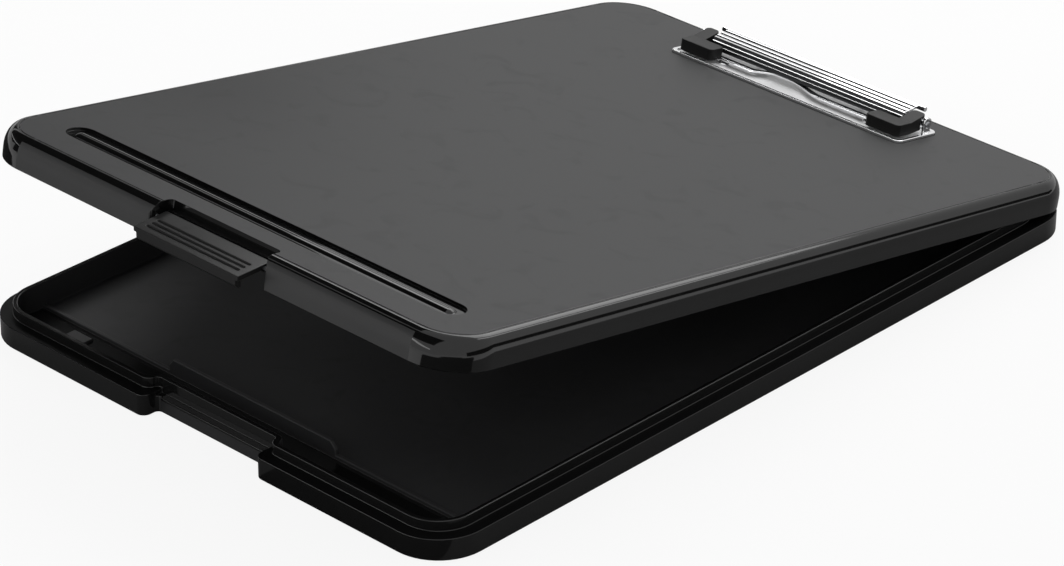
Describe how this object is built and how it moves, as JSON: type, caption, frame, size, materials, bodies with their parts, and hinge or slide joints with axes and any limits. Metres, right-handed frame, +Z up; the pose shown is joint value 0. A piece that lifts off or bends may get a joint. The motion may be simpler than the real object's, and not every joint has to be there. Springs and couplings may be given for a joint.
{
  "type": "storage clipboard",
  "caption": "Storage clipboard: a shallow document tray under a hinged writing lid with a low-profile spring clip, a pen groove and a swing latch.",
  "frame": {"origin": "on the table, at the middle of the tray's outer footprint", "axes": "+Z up, +Y towards the lid's hinge (away from the latch), +X to the right when the latch faces the user"},
  "size_m": [0.241, 0.3534, 0.0833],
  "materials": {
    "black_plastic": "glossy black moulding",
    "board_plastic": "fine matte charcoal board with glossy side walls",
    "clip_chrome": "bright nickel-chrome plate",
    "pin_steel": "drawn steel wire",
    "guard_plastic": "satin black"
  },
  "bodies": {
    "tray": {"tray_shell": "black_plastic", "hinge_pin_left": "pin_steel", "hinge_pin_right": "pin_steel"},
    "lid": {"lid_shell": "board_plastic", "latch_pin": "pin_steel", "clip_base": "clip_chrome", "clip_rivets": "clip_chrome", "rivet_washers": "pin_steel", "clip_rod": "pin_steel", "spring_left": "pin_steel", "spring_right": "pin_steel"},
    "latch": {"latch": "black_plastic"},
    "clip": {"clip_lever": "clip_chrome", "clip_jaw": "clip_chrome", "guard_left": "guard_plastic", "guard_right": "guard_plastic"}
  },
  "joints": [
    {"name": "lid_hinge", "type": "hinge", "parent": "tray", "child": "lid", "pos_m": [0, 0.17, 0.0086], "axis": [-1, 0, 0], "range_deg": [-10.6, 99.4]},
    {"name": "latch_swing", "type": "hinge", "parent": "lid", "child": "latch", "pos_m": [0, -0.16491, 0.0782], "axis": [1, 0, 0], "range_deg": [-30, 79.5]},
    {"name": "clip_press", "type": "hinge", "parent": "lid", "child": "clip", "pos_m": [0, 0.15735, 0.02796], "axis": [-1, 0, 0], "range_deg": [0, 28], "stiffness_Nm_per_rad": 0.35, "springref_deg": -25.78, "deforming": ["spring_left", "spring_right"]}
  ]
}
